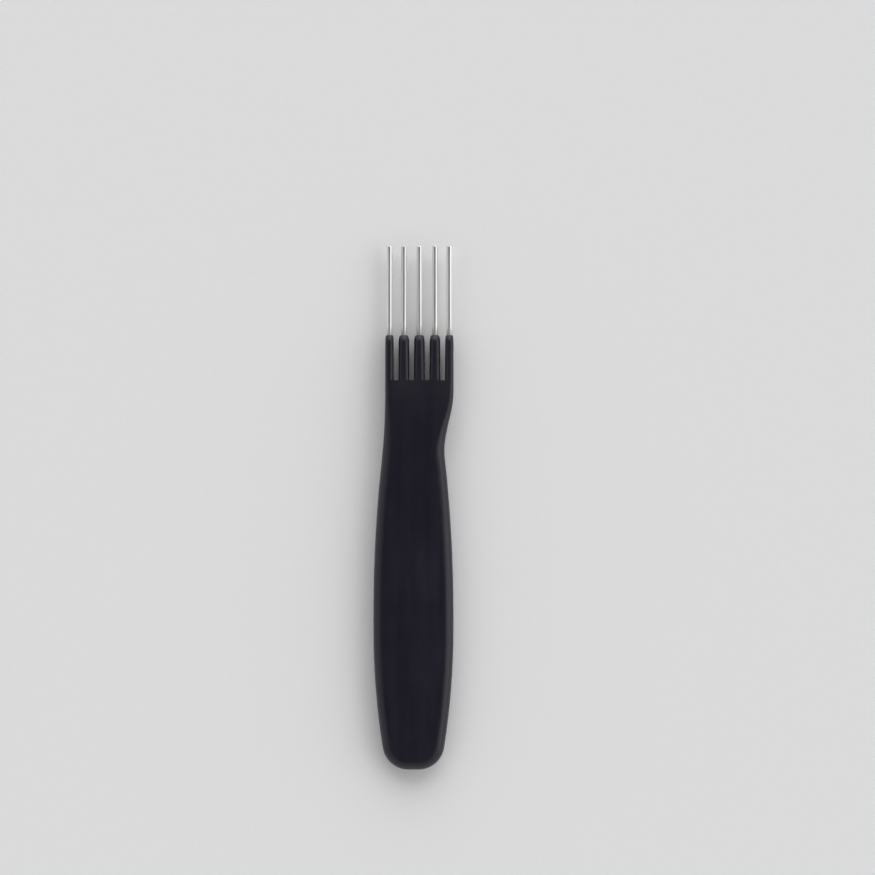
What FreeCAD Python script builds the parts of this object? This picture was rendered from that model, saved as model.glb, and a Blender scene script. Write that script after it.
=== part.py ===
import FreeCAD, Part
import math
import os
import re

import Sketcher
from FreeCAD import Vector

# An afro pick: one moulded handle that ends in a row of fingers, and a steel tine in each finger.
# It lies on its back, front face up, with the tines along +Y. The origin is on the flat back, under
# the middle of the grip's widest stretch.

doc = FreeCAD.newDocument("afro_pick")
sheet = doc.addObject("Spreadsheet::Sheet", "Sizes")

# The driving sizes, in millimetres apart from the count.
sizes = (
    ("belly_width", "31", "grip across its widest stretch"),
    ("belly_run", "3", "straight sides of that stretch, above and below its middle"),
    ("butt_drop", "57.2", "middle of the widest stretch to the butt end"),
    ("butt_flat", "4", "straight bottom of the butt end"),
    ("butt_radius", "10", "rounded corners beside it, seen from the front"),
    ("grip_thickness", "10", "grip, front to back"),
    ("grip_edge_radius", "4", "rounding along the grip's edges"),
    ("neck_rise", "64", "middle of the widest stretch to the neck"),
    ("neck_width", "24.2", "neck across its sides"),
    ("shoulder_length", "24.8", "neck to where the head reaches its full width"),
    ("head_length", "4.5", "full-width head below the slots"),
    ("head_offset", "2.3", "head's middle from the grip's middle, sideways"),
    ("head_thickness", "8", "head at the floor of the slots, front to back"),
    ("head_edge_radius", "1.5", "rounding along the edges of the head and its fingers"),
    ("inner_finger_width", "4.1", "finger between two slots"),
    ("outer_finger_width", "3.25", "finger at a side of the head"),
    ("slot_width", "1.9", "slot between two fingers"),
    ("finger_length", "17.5", "floor of the slots to the fingers' ends"),
    ("nose_length", "2.8", "rounded end of a finger"),
    ("nose_thickness", "6.3", "finger where its rounded end starts, front to back"),
    ("nose_wall", "0.15", "plastic left round the tine at a finger's end"),
    ("tine_count", "5", "tines in the row, one to a finger"),
    ("tine_diameter", "2.2", "tine across its straight shank"),
    ("tine_reach", "34.9", "finger's end to the tip of its tine"),
    ("tine_hold", "24", "length of tine buried in the handle"),
    ("tip_dome", "0.6", "height of a tine's domed tip"),
    ("anchor_diameter", "2.7", "upset head on the buried end of a tine"),
    ("anchor_length", "1.5", "that head along the tine"),
    ("socket_clearance", "0.02", "play between a tine and its socket"),
    ("cut_overrun", "2", "how far a cut runs past the face it opens"),
)

# How far an arc has bent in, halfway from a straight side to its end.
bow_share = 0.25

# How far along and across its radius a rounded corner has come, halfway round.
halfway_share = math.sqrt(0.5)

# In how many straight steps the shoulder and a finger's rounded end are made.
shoulder_steps = 12
nose_steps = 5

# How much of the thinning and of the change in edge rounding is made by the top of the shoulder.
thinning_share = 0.62
sharpening_share = 0.85

# The most of a wall that a rounding may take.
edge_limit_share = 0.46

for row, (alias, value, meaning) in enumerate(sizes, start=1):
    sheet.set(f"A{row}", meaning)
    sheet.set(f"B{row}", value)
    sheet.setAlias(f"B{row}", alias)
doc.recompute()
aliases = {alias for alias, value, meaning in sizes}


def tied(text):
    # A formula in the sizes' own names, pointed at their cells.
    return re.sub(r"[a-z]\w*", lambda word: "Sizes." * (word[0] in aliases) + word[0], text)


def number(text):
    return float(sheet.evalExpression(tied(text)))


# Places and sizes that several features share.
slot_pitch = "(inner_finger_width + slot_width)"
slot_row = f"({slot_pitch} * (tine_count - 2))"
head_width = f"({slot_row} + slot_width + 2 * outer_finger_width)"
head_left = f"(head_offset - {head_width} / 2)"
head_right = f"(head_offset + {head_width} / 2)"
thinnest_wall = "min(head_thickness; inner_finger_width; outer_finger_width)"
slot_floor = "(neck_rise + shoulder_length + head_length)"
finger_end = f"({slot_floor} + finger_length)"
nose_start = f"({finger_end} - nose_length)"
nose_ring = "(tine_diameter + 2 * nose_wall)"
tine_plane = "grip_thickness / 2"
grip_edge = f"min(grip_edge_radius; grip_thickness * {edge_limit_share})"
head_edge = f"min(head_edge_radius; {thinnest_wall} * {edge_limit_share})"
positions = range(int(number("tine_count")))


def change(start, end, share):
    # A size part of the way from one to another.
    return f"({start} + {share} * ({end} - {start}))"


def origin_part(body, role):
    return next(part for part in body.Origin.OriginFeatures if part.Role == role)


def new_sketch(body, name, role, shifts):
    sketch = body.newObject("Sketcher::SketchObject", name)
    sketch.AttachmentSupport = [(origin_part(body, role), "")]
    sketch.MapMode = "FlatFace"
    for axis, text in shifts.items():
        sketch.setExpression(f"AttachmentOffset.Base.{axis}", tied(text))
    return sketch


def dimension(sketch, kind, places, text):
    index = sketch.addConstraint(Sketcher.Constraint(kind, *places, number(text)))
    sketch.setExpression(f"Constraints[{index}]", tied(text))


def fix_point(sketch, element, end, point):
    across, along = point
    dimension(sketch, "DistanceX", (-1, 1, element, end), across)
    dimension(sketch, "DistanceY", (-1, 1, element, end), along)


def spot(point):
    across, along = point
    return Vector(number(across), number(along), 0)


def add_line(sketch, start, end):
    return sketch.addGeometry(Part.LineSegment(spot(start), spot(end)), False)


def add_arc(sketch, start, middle, end):
    return sketch.addGeometry(Part.Arc(spot(start), spot(middle), spot(end)), False)


def close_loop(sketch, elements, smooth):
    # Joins the elements end to end, without a corner between two smooth ones.
    for first, second in zip(elements, elements[1:] + elements[:1]):
        kind = "Tangent" if first in smooth and second in smooth else "Coincident"
        sketch.addConstraint(Sketcher.Constraint(kind, first, 2, second, 1))


def slab_section(body, name, rise, left, right, thickness, edge):
    # A rounded rectangle across the handle, halved by the plane that the tines lie in.
    sketch = new_sketch(body, name, "XZ_Plane", {"z": f"-{rise}"})
    half = f"{thickness} / 2"
    low, high, top, radius = (number(text) for text in (left, right, half, edge))
    centres = (
        Vector(high - radius, top - radius, 0),
        Vector(low + radius, top - radius, 0),
        Vector(low + radius, radius - top, 0),
        Vector(high - radius, radius - top, 0),
    )
    arcs = []
    for quarter, centre in enumerate(centres):
        circle = Part.Circle(centre, Vector(0, 0, 1), radius)
        arcs.append(Part.ArcOfCircle(circle, quarter * math.pi / 2, (quarter + 1) * math.pi / 2))
    for arc, following in zip(arcs, arcs[1:] + arcs[:1]):
        sketch.addGeometry(arc, False)
        sketch.addGeometry(Part.LineSegment(arc.EndPoint, following.StartPoint), False)
    sides = list(range(sketch.GeometryCount))
    close_loop(sketch, sides, sides)
    for line, direction in ((1, "Horizontal"), (3, "Vertical"), (5, "Horizontal"), (7, "Vertical")):
        sketch.addConstraint(Sketcher.Constraint(direction, line))
    for arc in (2, 4, 6):
        sketch.addConstraint(Sketcher.Constraint("Equal", 0, arc))
    dimension(sketch, "Radius", (0,), edge)
    dimension(sketch, "DistanceY", (-1, 1, 1, 1), half)
    dimension(sketch, "DistanceX", (-1, 1, 3, 1), left)
    dimension(sketch, "DistanceY", (-1, 1, 5, 1), f"-{half}")
    dimension(sketch, "DistanceX", (-1, 1, 7, 1), right)
    return sketch


def add_loft(body, name, sections):
    # Straight from each section to the next.
    loft = body.newObject("PartDesign::AdditiveLoft", name)
    loft.Profile = sections[0]
    loft.Sections = sections[1:]
    loft.Ruled = True


def build_grip(body):
    # Butt to neck: a slab with a bowed outline, rounded along its front and back.
    sketch = new_sketch(body, "grip_outline", "XY_Plane", {})
    corner = "(butt_flat / 2)"
    butt_side = f"({corner} + butt_radius)"
    corner_rise = "(butt_radius - butt_drop)"
    halfway = f"{halfway_share} * butt_radius"
    right = [
        ("neck_width / 2", "neck_rise"),
        (change("belly_width / 2", "neck_width / 2", bow_share), "(neck_rise + belly_run) / 2"),
        ("belly_width / 2", "belly_run"),
        ("belly_width / 2", "-belly_run"),
        (change("belly_width / 2", butt_side, bow_share), f"({corner_rise} - belly_run) / 2"),
        (butt_side, corner_rise),
        (f"({corner} + {halfway})", f"({corner_rise} - {halfway})"),
        (corner, "-butt_drop"),
    ]
    left = [(f"-{across}", along) for across, along in right]
    neck = add_line(sketch, right[0], left[0])
    left_waist = add_arc(sketch, *left[:3])
    left_belly = add_line(sketch, *left[2:4])
    left_flank = add_arc(sketch, *left[3:6])
    left_corner = add_arc(sketch, *left[5:])
    butt = add_line(sketch, left[-1], right[-1])
    right.reverse()
    right_corner = add_arc(sketch, *right[:3])
    right_flank = add_arc(sketch, *right[2:5])
    right_belly = add_line(sketch, *right[4:6])
    right_waist = add_arc(sketch, *right[5:])
    left_side = [left_waist, left_belly, left_flank, left_corner]
    right_side = [right_corner, right_flank, right_belly, right_waist]
    smooth = left_side + [butt] + right_side
    close_loop(sketch, [neck] + smooth, smooth)
    for line, start, end in (
        (neck, right[-1], left[0]),
        (left_belly, left[2], left[3]),
        (right_belly, right[4], right[5]),
    ):
        fix_point(sketch, line, 1, start)
        fix_point(sketch, line, 2, end)
    for arc, centre in ((left_corner, f"-{corner}"), (right_corner, corner)):
        fix_point(sketch, arc, 3, (centre, corner_rise))
        dimension(sketch, "Radius", (arc,), "butt_radius")

    slab = body.newObject("PartDesign::Pad", "grip_slab")
    slab.Profile = sketch
    slab.SideType = "Symmetric"
    slab.setExpression("Length", tied("grip_thickness"))
    doc.recompute()

    # The edges of its two faces, but not those across the neck.
    rims = []
    for index, edge in enumerate(slab.Shape.Edges, start=1):
        level = edge.BoundBox.ZLength < number("grip_thickness / 2")
        if level and edge.BoundBox.YMin < number("neck_rise / 2"):
            rims.append(f"Edge{index}")
    rounding = body.newObject("PartDesign::Fillet", "grip_rounding")
    rounding.Base = (slab, rims)
    rounding.setExpression("Radius", tied(grip_edge))
    doc.recompute()
    faces = rounding.Shape.Faces
    neck_face = max(range(len(faces)), key=lambda index: faces[index].BoundBox.YMin)
    return (rounding, [f"Face{neck_face + 1}"])


def build_shoulder(body, neck_face):
    # From the neck to the thinner head, which is swung to the right.
    shoulder = [neck_face]
    for step in range(1, shoulder_steps + 1):
        share = step / shoulder_steps
        rise = f"(neck_rise + {share} * shoulder_length)"
        swing = share**2 * (3 - 2 * share)
        left = change("-neck_width / 2", head_left, share * (2 - share))
        right = f"({swing} * 2 * head_offset - {left})"
        thickness = change("grip_thickness", "head_thickness", thinning_share * share**2)
        edge = change(grip_edge, head_edge, sharpening_share * swing)
        name = f"shoulder_section_{step}"
        shoulder.append(slab_section(body, name, rise, left, right, thickness, edge))

    # The straight head, as far as the floor of the slots.
    floor = slab_section(body, "slot_floor", slot_floor, head_left, head_right, "head_thickness", head_edge)
    add_loft(body, "shoulder", shoulder + [floor])


def finger_sides(position):
    # A finger lies between two slots, or between a slot and the side of the head.
    first_slot = f"(head_offset - {slot_row} / 2)"
    left = head_left
    right = head_right
    if position > positions[0]:
        left = f"({first_slot} + {position - 1} * {slot_pitch} + slot_width / 2)"
    if position < positions[-1]:
        right = f"({first_slot} + {position} * {slot_pitch} - slot_width / 2)"
    return left, right


def finger_middle(position):
    left, right = finger_sides(position)
    return f"(({left} + {right}) / 2)"


def finger_width(position):
    left, right = finger_sides(position)
    return f"({right} - {left})"


def build_finger(body, position):
    # A tapered bar that ends in a bullet-shaped nose.
    name = f"finger_{position + 1}"
    middle = finger_middle(position)
    full_width = finger_width(position)

    def finger_section(suffix, rise, width, thickness, edge):
        left = f"({middle} - {width} / 2)"
        right = f"({middle} + {width} / 2)"
        return slab_section(body, f"{name}_{suffix}", rise, left, right, thickness, edge)

    root = finger_section("root", slot_floor, full_width, "head_thickness", head_edge)
    start_edge = f"{full_width} * {edge_limit_share}"
    start = finger_section("nose_start", nose_start, full_width, "nose_thickness", start_edge)
    add_loft(body, f"{name}_bar", [root, start])
    sections = [start]
    for step in range(1, nose_steps + 1):
        turn = step / nose_steps * math.pi / 2
        rise = f"({nose_start} + {math.sin(turn)} * nose_length)"
        width = change(nose_ring, full_width, math.cos(turn))
        thickness = change(nose_ring, "nose_thickness", math.cos(turn))
        edge = f"{width} * {edge_limit_share}"
        sections.append(finger_section(f"nose_{step}", rise, width, thickness, edge))
    add_loft(body, f"{name}_nose", sections)


def buried_profile(play):
    # Half section of a tine's buried end, from the axis out: an upset head and the start of the shank.
    head = f"(anchor_diameter / 2 + {play})"
    shank = f"(tine_diameter / 2 + {play})"
    end = f"-(tine_hold + {play})"
    step = f"(anchor_length - tine_hold + {play})"
    return [("0", end), (head, end), (head, step), (shank, step)]


def add_outline(sketch, points):
    # Straight lines from point to point, each start fixed.
    lines = []
    for start, end in zip(points, points[1:]):
        lines.append(add_line(sketch, start, end))
        fix_point(sketch, lines[-1], 1, start)
    return lines


def build_socket(body, position):
    # The hole that a tine leaves in the plastic, its head included.
    name = f"socket_{position + 1}"
    sketch = new_sketch(body, f"{name}_profile", "XY_Plane", {"x": finger_middle(position), "y": finger_end})
    points = buried_profile("socket_clearance")
    points += [(points[-1][0], "cut_overrun"), ("0", "cut_overrun"), points[0]]
    close_loop(sketch, add_outline(sketch, points), [])
    socket = body.newObject("PartDesign::Groove", name)
    socket.Profile = sketch
    socket.ReferenceAxis = (sketch, ["V_Axis"])


def build_handle():
    body = doc.addObject("PartDesign::Body", "handle")
    body.Label = "handle"
    build_shoulder(body, build_grip(body))
    for position in positions:
        build_finger(body, position)
        build_socket(body, position)
    body.setExpression("Placement.Base.z", tied(tine_plane))
    return body


def build_tine(position):
    name = f"tine_{position + 1}"
    body = doc.addObject("PartDesign::Body", name)
    body.Label = name
    sketch = new_sketch(body, f"{name}_profile", "XY_Plane", {})
    tip_edge = ("tine_diameter / 2", "(tine_reach - tip_dome)")
    tip_flank = ("tine_diameter / 4", f"(tine_reach - {bow_share} * tip_dome)")
    tip = ("0", "tine_reach")
    points = buried_profile("0")
    shank = add_outline(sketch, points + [tip_edge])
    dome = add_arc(sketch, tip_edge, tip_flank, tip)
    axis = add_line(sketch, tip, points[0])
    close_loop(sketch, shank + [dome, axis], [])
    fix_point(sketch, dome, 1, tip_edge)
    fix_point(sketch, dome, 2, tip)
    sketch.addConstraint(Sketcher.Constraint("PointOnObject", dome, 3, -2))
    pin = body.newObject("PartDesign::Revolution", f"{name}_pin")
    pin.Profile = sketch
    pin.ReferenceAxis = (sketch, ["V_Axis"])
    body.setExpression("Placement.Base.x", tied(finger_middle(position)))
    body.setExpression("Placement.Base.y", tied(finger_end))
    body.setExpression("Placement.Base.z", tied(tine_plane))
    return body


pieces = [build_handle()]
for position in positions:
    pieces.append(build_tine(position))
doc.recompute()

for item in doc.Objects:
    if "Invalid" in item.State or "Error" in item.State:
        raise RuntimeError(f"{item.Label} failed: {item.State}")
os.makedirs("parts", exist_ok=True)
for piece in pieces:
    if piece.Shape.isNull() or not piece.Shape.isValid() or len(piece.Shape.Solids) != 1:
        raise RuntimeError(f"{piece.Label} is not one sound solid")
for piece in pieces:
    piece.Shape.exportStep(f"parts/{piece.Label}.step")
    box = piece.Shape.optimalBoundingBox()
    extent = " x ".join(f"{length:.2f}" for length in (box.XLength, box.YLength, box.ZLength))
    print(piece.Label, f"{piece.Shape.Volume:.1f} mm3,", extent, "mm")
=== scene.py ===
import math

import bpy
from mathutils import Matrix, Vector


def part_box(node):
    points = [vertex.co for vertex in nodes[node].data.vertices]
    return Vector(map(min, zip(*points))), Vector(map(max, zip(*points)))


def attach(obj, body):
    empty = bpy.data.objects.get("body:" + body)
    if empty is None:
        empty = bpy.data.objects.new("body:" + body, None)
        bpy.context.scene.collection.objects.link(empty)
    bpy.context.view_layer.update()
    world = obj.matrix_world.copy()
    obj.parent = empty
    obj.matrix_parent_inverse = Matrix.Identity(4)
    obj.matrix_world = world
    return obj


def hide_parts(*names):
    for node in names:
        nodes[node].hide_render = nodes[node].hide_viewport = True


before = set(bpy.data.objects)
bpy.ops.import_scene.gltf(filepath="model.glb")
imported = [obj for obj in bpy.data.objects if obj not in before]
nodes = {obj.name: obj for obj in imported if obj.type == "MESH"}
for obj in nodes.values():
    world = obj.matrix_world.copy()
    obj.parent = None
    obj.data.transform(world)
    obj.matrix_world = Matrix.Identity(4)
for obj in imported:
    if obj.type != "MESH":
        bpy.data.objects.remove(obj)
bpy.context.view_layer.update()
tineNames = sorted(name for name in nodes if name.startswith("tine"))
tineBoxes = [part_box(name) for name in tineNames]
tineLines = [(low.x + high.x) / 2 for low, high in tineBoxes]  # where each tine's axis lies, across
tineFoot, tineTip = (corner.y for corner in tineBoxes[0])
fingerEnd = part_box("handle")[1].y
print("frame loaded:", len(nodes), "nodes")


class Wire:  # a node socket, so that shader maths reads as plain sums

    def __init__(self, desk, socket):
        self.desk = desk
        self.socket = socket

    def math(self, operation, first, second):
        return self.desk.node("ShaderNodeMath", {"operation": operation}, {0: first, 1: second})

    def __add__(self, other):
        return self.math("ADD", self, other)

    __radd__ = __add__

    def __sub__(self, other):
        return self.math("SUBTRACT", self, other)

    def __rsub__(self, other):
        return self.math("SUBTRACT", other, self)

    def __mul__(self, other):
        return self.math("MULTIPLY", self, other)

    __rmul__ = __mul__

    def __abs__(self):
        return self.math("ABSOLUTE", self, 0)


class Desk:  # one node tree: a material's, or the world's

    def __init__(self, owner):
        owner.use_nodes = True
        self.owner = owner
        self.tree = owner.node_tree
        self.tree.nodes.clear()

    def node(self, kind, settings, sockets, out=0):
        made = self.tree.nodes.new(kind)
        for key, value in settings.items():
            setattr(made, key, value)
        for key, value in sockets.items():
            if isinstance(value, Wire):
                self.tree.links.new(value.socket, made.inputs[key])
            else:
                made.inputs[key].default_value = value
        return Wire(self, made.outputs[out]) if made.outputs else None

    def place(self, scale=(1, 1, 1), turn=0):  # object coordinates, stretched and turned
        spot = self.node("ShaderNodeTexCoord", {}, {}, "Object")
        sockets = {"Vector": spot, "Scale": scale, "Rotation": (0, 0, math.radians(turn))}
        return self.node("ShaderNodeMapping", {}, sockets)

    def part(self, vector, axis):  # one coordinate of a vector
        return self.node("ShaderNodeSeparateXYZ", {}, {"Vector": vector}, axis)

    def noise(self, where, scale, detail=3, roughness=0.5):
        sockets = {"Vector": where, "Scale": scale, "Detail": detail, "Roughness": roughness}
        return self.node("ShaderNodeTexNoise", {}, sockets)

    def step(self, value, low, high):  # 0 below low, 1 above high, eased between
        sockets = {"Value": value, "From Min": low, "From Max": high}
        return self.node("ShaderNodeMapRange", {"interpolation_type": "SMOOTHSTEP"}, sockets)

    def blend(self, share, first, second):
        sockets = {0: share, 6: first, 7: second}  # the colour sockets of a Mix node
        return self.node("ShaderNodeMix", {"data_type": "RGBA"}, sockets, 2)

    def bump(self, height, strength, distance):
        sockets = {"Height": height, "Strength": strength, "Distance": distance}
        return self.node("ShaderNodeBump", {}, sockets)

    def sway(self, middle, changes):  # a number that patterns push up or down
        for pattern, amount in changes:
            middle = middle + pattern * amount
        return middle

    def finish(self, sockets):
        shader = self.node("ShaderNodeBsdfPrincipled", {}, sockets)
        self.node("ShaderNodeOutputMaterial", {}, {"Surface": shader})
        return self.owner


noiseMiddle = 0.5  # what a noise swings about


def dress(piece, material):
    piece.data.materials.clear()
    piece.data.materials.append(material)


plastic = {
    "colour": (0.0068, 0.0058, 0.0140, 1),
    "flowColour": (0.0096, 0.0084, 0.0180, 1),
    "rubbedColour": (0.0110, 0.0098, 0.0185, 1),
    "ior": 1.45,
    "roughness": 0.40,
    "cloudRoughness": 0.22,  # how far each pattern pushes the roughness
    "grainRoughness": 0.12,
    "flowRoughness": 0.10,
    "wornRoughness": -0.08,
    "scuffRoughness": 0.12,
    "cloudScale": 55,  # per metre, as the other scales
    "grainScale": 2400,  # moulded grain
    "grainDepth": 0.00003,
    "grainStrength": 0.35,
    "flowStretch": (240, 16, 240),  # streaks of the melt, along the handle
    "flowEdge": (0.35, 0.75),  # where a pattern starts to show, and where it is full
    "rimEdge": (0.02, 0.25),  # turned this far from the flat faces, a rounded edge starts
    "flankEdge": (0.35, 0.80),  # and here it ends
    "wornEdge": (0.38, 0.68),
    "wornShare": 0.55,
    "scratchStretch": (1500, 45, 1500),
    "scratchTurns": (7, -16),  # degrees off the handle's length
    "scratchEdge": (0.66, 0.72),
    "scuffEdge": (0.42, 0.62),
    "scuffShare": 0.3,
    "scuffDepth": 0.4,  # against the grain's
}


def makePlastic():
    desk = Desk(bpy.data.materials.new("blackPlastic"))
    where = desk.place()
    grain = desk.noise(where, plastic["grainScale"], detail=2)
    cloud = desk.noise(where, plastic["cloudScale"], detail=4, roughness=0.6)
    flow = desk.noise(desk.place(plastic["flowStretch"]), 1)
    facing = desk.part(desk.node("ShaderNodeTexCoord", {}, {}, "Normal"), "Z")
    side = 1 - abs(facing)  # 0 on the flat faces, 1 on the sides
    rim = desk.step(side, *plastic["rimEdge"]) * (1 - desk.step(side, *plastic["flankEdge"]))
    scratches = 0
    for turn in plastic["scratchTurns"]:
        line = desk.noise(desk.place(plastic["scratchStretch"], turn), 1, detail=2)
        scratches = scratches + desk.step(line, *plastic["scratchEdge"])
    scuffs = scratches * desk.step(cloud, *plastic["scuffEdge"])
    worn = rim * desk.step(cloud, *plastic["wornEdge"])
    streaks = desk.step(flow, *plastic["flowEdge"])
    rubbed = worn * plastic["wornShare"] + scuffs * plastic["scuffShare"]
    colour = desk.blend(streaks, plastic["colour"], plastic["flowColour"])
    colour = desk.blend(rubbed, colour, plastic["rubbedColour"])
    roughness = desk.sway(plastic["roughness"], (
        (cloud - noiseMiddle, plastic["cloudRoughness"]),
        (grain - noiseMiddle, plastic["grainRoughness"]),
        (flow - noiseMiddle, plastic["flowRoughness"]),
        (worn, plastic["wornRoughness"]),
        (scuffs, plastic["scuffRoughness"]),
    ))
    relief = grain - scuffs * plastic["scuffDepth"]
    normal = desk.bump(relief, plastic["grainStrength"], plastic["grainDepth"])
    return desk.finish({"Base Color": colour, "Roughness": roughness, "Normal": normal,
                        "IOR": plastic["ior"]})


steel = {
    "colour": (0.86, 0.855, 0.84, 1),
    "streakColour": (0.60, 0.60, 0.59, 1),
    # colour for the pits, and for the painted contact shade at the foot of each tine
    "pitAndRootShadeColour": (0.34, 0.33, 0.31, 1),
    "roughness": 0.38,
    "streakRoughness": 0.20,
    "cloudRoughness": 0.16,
    "rootRoughness": 0.15,
    "tipRoughness": -0.08,
    "cloudScale": 190,
    "streakStretch": (2600, 14, 2600),  # lines left by drawing the wire
    "streakEdge": (0.4, 0.7),
    "streakDepth": 0.00001,
    "streakStrength": 0.2,
    "pitScale": 2600,
    "pitEdge": (0.68, 0.76),
    "pitShare": 0.5,
    "rootShadeLength": 0.004,  # darker, rougher stretch above a finger: painted contact shade where the tine leaves it
    "rootShadeWander": 0.004,  # how unevenly it ends
    "rootShadeShare": 0.7,
    "polishLength": 0.005,  # bright stretch at the tip
}


def makeSteel():
    desk = Desk(bpy.data.materials.new("platedSteel"))
    where = desk.place()
    streak = desk.noise(desk.place(steel["streakStretch"]), 1)
    cloud = desk.noise(where, steel["cloudScale"], detail=4, roughness=0.6)
    pits = desk.step(desk.noise(where, steel["pitScale"], detail=2), *steel["pitEdge"])
    along = desk.part(where, "Y")
    uneven = along + (cloud - noiseMiddle) * steel["rootShadeWander"]
    # painted contact shade: the tine darkens and roughens for a few millimetres above its finger,
    # with an uneven end
    root = 1 - desk.step(uneven, fingerEnd, fingerEnd + steel["rootShadeLength"])
    tip = desk.step(along, tineTip - steel["polishLength"], tineTip)
    drawn = desk.step(streak, *steel["streakEdge"])
    # pits darken the steel, and so does the painted contact shade at the root
    pitsAndRootShade = root * steel["rootShadeShare"] + pits * steel["pitShare"]
    colour = desk.blend(drawn, steel["colour"], steel["streakColour"])
    colour = desk.blend(pitsAndRootShade, colour, steel["pitAndRootShadeColour"])
    roughness = desk.sway(steel["roughness"], (
        (streak - noiseMiddle, steel["streakRoughness"]),
        (cloud - noiseMiddle, steel["cloudRoughness"]),
        (root, steel["rootRoughness"]),
        (tip, steel["tipRoughness"]),
    ))
    normal = desk.bump(streak, steel["streakStrength"], steel["streakDepth"])
    return desk.finish({"Base Color": colour, "Roughness": roughness, "Normal": normal,
                        "Metallic": 1})


mergeGap = 0.000001  # points closer than this are one


def copyNode(name, pieceName):  # a CAD piece again, merged, left in edit mode with all selected
    bpy.ops.object.select_all(action="DESELECT")
    piece = bpy.data.objects.new(pieceName, nodes[name].data.copy())
    bpy.context.scene.collection.objects.link(piece)
    piece.select_set(True)
    bpy.context.view_layer.objects.active = piece
    bpy.ops.mesh.customdata_custom_splitnormals_clear()
    bpy.ops.object.mode_set(mode="EDIT")
    bpy.ops.mesh.select_all(action="SELECT")
    bpy.ops.mesh.remove_doubles(threshold=mergeGap)
    return piece


def standIn(piece, name):
    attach(piece, "root")
    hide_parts(name)
    return piece


shell = {
    "flatAngle": 0.2,  # faces flatter than this to each other become one
    "smoothAngle": 38,
    "partingHeight": 0.005,  # the mould's two halves meet at the plane of the tines
    "partingHalfWidth": 0.00009,
    "partingDepth": 0.00011,  # steep enough for the line to stay crisp
    "socketRadius": 0.00118,  # points this near a tine's axis belong to its socket
    "socketHeadRadius": 0.00145,  # and at the tine's buried head
    "fingerLength": 0.0175,
    "footRoom": 0.0005,  # a socket's end lies just below its tine's foot
}


def inSocket(spot):
    off = min(abs(spot.x - line) for line in tineLines)
    deep = spot.y < fingerEnd - shell["fingerLength"] / 2
    radius = shell["socketHeadRadius"] if deep else shell["socketRadius"]
    return off < radius and spot.y > tineFoot - shell["footRoom"]


def makeShell():  # the handle in whole faces, with the mould's parting line cut round it
    piece = copyNode("handle", "handleShell")
    bpy.ops.mesh.dissolve_limited(angle_limit=math.radians(shell["flatAngle"]))
    for shift in (-1, 0, 1):
        height = shell["partingHeight"] + shift * shell["partingHalfWidth"]
        bpy.ops.mesh.select_all(action="SELECT")
        cut = {"plane_co": (0, 0, height), "plane_no": (0, 0, 1)}
        bpy.ops.mesh.bisect(threshold=mergeGap, **cut)
    bpy.ops.mesh.select_mode(type="VERT")
    bpy.ops.mesh.select_all(action="DESELECT")
    bpy.ops.object.mode_set(mode="OBJECT")
    for spot in piece.data.vertices:
        level = abs(spot.co.z - shell["partingHeight"]) < mergeGap
        spot.select = level and not inSocket(spot.co)
    bpy.ops.object.mode_set(mode="EDIT")
    bpy.ops.transform.shrink_fatten(value=-shell["partingDepth"])
    bpy.ops.object.mode_set(mode="OBJECT")
    bpy.ops.object.shade_smooth_by_angle(angle=math.radians(shell["smoothAngle"]))
    bpy.ops.object.modifier_add(type="WEIGHTED_NORMAL")
    piece.modifiers[-1].keep_sharp = True
    bpy.ops.object.modifier_apply(modifier=piece.modifiers[-1].name)
    return standIn(piece, "handle")


tine = {
    "smoothAngle": 25,  # the rim of the domed tip stays crisp
}


def makeTine(name):
    piece = copyNode(name, name.replace("tine_", "tineWire"))
    bpy.ops.object.mode_set(mode="OBJECT")
    bpy.ops.object.shade_smooth_by_angle(angle=math.radians(tine["smoothAngle"]))
    return standIn(piece, name)


plasticMaterial = makePlastic()
steelMaterial = makeSteel()
handleShell = makeShell()
dress(handleShell, plasticMaterial)
dress(nodes["handle"], plasticMaterial)
for name in tineNames:
    dress(makeTine(name), steelMaterial)
    dress(nodes[name], steelMaterial)
print("handle and tines dressed:", len(handleShell.data.polygons), "faces on the handle")

studio = {
    "floorSize": 40,  # its far edge stays out of the low views
    "floorColour": (0.90, 0.90, 0.91, 1),
    "floorFleck": (0.86, 0.86, 0.87, 1),
    "floorRoughness": 0.9,
    "fleckScale": 900,
    "zenithLight": 0.05,  # dark overhead, so that the flat black faces stay dark
    "zenithEdge": (0.68, 0.88),  # by a direction's height, 1 straight up
    "leftLight": 0.70,
    "rightLight": 0.76,
    "acrossEdge": (-0.7, 0.7),
    "horizonLight": 0.75,  # as bright as the floor, so that its far edge doesn't show
    "horizonEdge": (0.04, 0.16),
    "key": {"from": (0.10, 0.97, 0.45), "share": 0.23, "spread": 68},  # in line with the slots
    "side": {"from": (0.88, 0.10, 0.52), "share": 0.10, "spread": 60},
}


def makeFloor():
    bpy.ops.object.select_all(action="DESELECT")
    bpy.ops.mesh.primitive_plane_add(size=studio["floorSize"], location=(0, 0, 0))
    floor = bpy.context.object
    floor.name = "floor"
    desk = Desk(bpy.data.materials.new("paleFloor"))
    paper = desk.noise(desk.place(), studio["fleckScale"], detail=2)
    colour = desk.blend(paper, studio["floorColour"], studio["floorFleck"])
    dress(floor, desk.finish({"Base Color": colour, "Roughness": studio["floorRoughness"]}))


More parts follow.
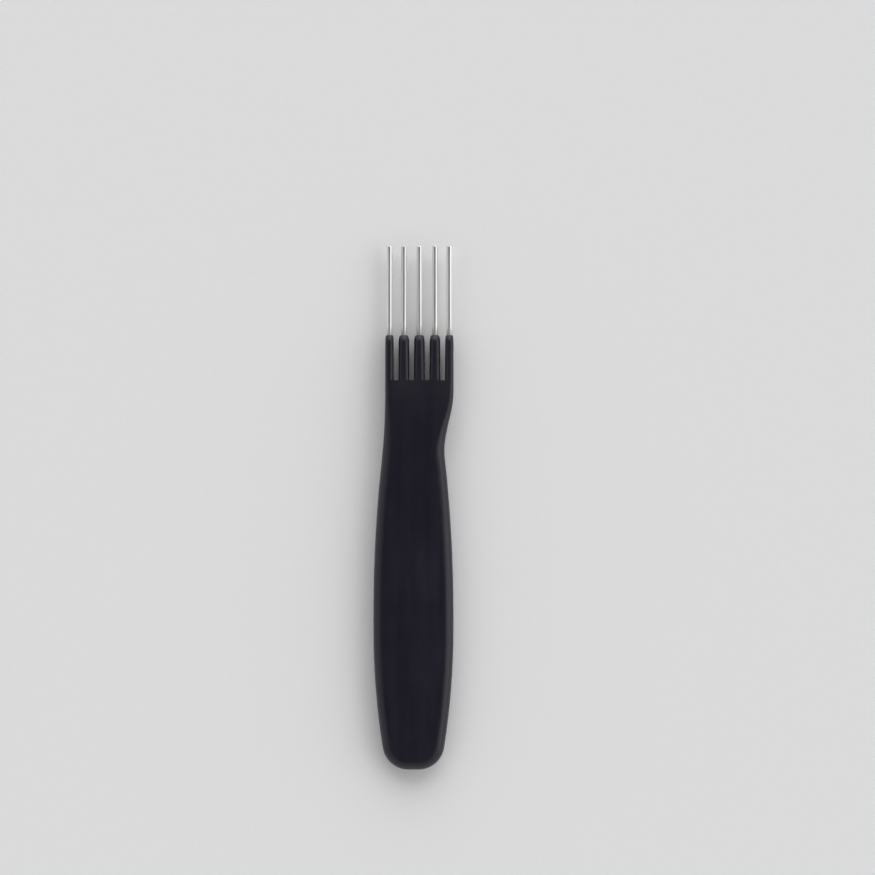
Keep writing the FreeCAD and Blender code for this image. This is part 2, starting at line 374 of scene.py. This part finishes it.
def makeLamp(name):
    settings = studio[name]
    towards = Vector(settings["from"]).normalized()
    data = bpy.data.lights.new(name, "SUN")
    data.angle = math.radians(settings["spread"])
    data.energy = settings["share"] * math.pi / towards.z  # share of a white floor's light
    lamp = bpy.data.objects.new(name, data)
    lamp.rotation_euler = towards.to_track_quat("Z", "Y").to_euler()
    bpy.context.scene.collection.objects.link(lamp)


def makeWorld():
    world = bpy.data.worlds.new("studio")
    desk = Desk(world)
    towards = desk.node("ShaderNodeTexCoord", {}, {}, "Generated")
    height = desk.part(towards, "Z")
    overhead = desk.step(height, *studio["zenithEdge"])
    low = 1 - desk.step(height, *studio["horizonEdge"])
    rightward = desk.step(desk.part(towards, "X"), *studio["acrossEdge"])
    around = studio["leftLight"] + rightward * (studio["rightLight"] - studio["leftLight"])
    strength = desk.sway(around, (
        (overhead, studio["zenithLight"] - around),
        (low, studio["horizonLight"] - around),
    ))
    light = desk.node("ShaderNodeBackground", {}, {"Color": (1, 1, 1, 1), "Strength": strength})
    desk.node("ShaderNodeOutputWorld", {}, {"Surface": light})
    bpy.context.scene.world = world


photo = {
    "imageWidth": 875,
    "metresPerPixel": 0.000386,
    "originPixel": (413.4, 622),  # where the frame's origin lies in the picture
    "lens": 100,
    "sensor": 36,
    "subjectHeight": 0.008,  # the scale holds at the handle's front
}


def makeCamera():
    data = bpy.data.cameras.new("camera")
    data.lens = photo["lens"]
    data.sensor_width = photo["sensor"]
    camera = bpy.data.objects.new("camera", data)
    middle = photo["imageWidth"] / 2
    across = (middle - photo["originPixel"][0]) * photo["metresPerPixel"]
    along = (photo["originPixel"][1] - middle) * photo["metresPerPixel"]
    away = photo["imageWidth"] * photo["metresPerPixel"] * photo["lens"] / photo["sensor"]
    camera.location = (across, along, photo["subjectHeight"] + away)
    bpy.context.scene.collection.objects.link(camera)
    bpy.context.scene.camera = camera


makeFloor()
makeLamp("key")
makeLamp("side")
makeWorld()
makeCamera()
bpy.context.scene.view_settings.view_transform = "Standard"
print("studio set")
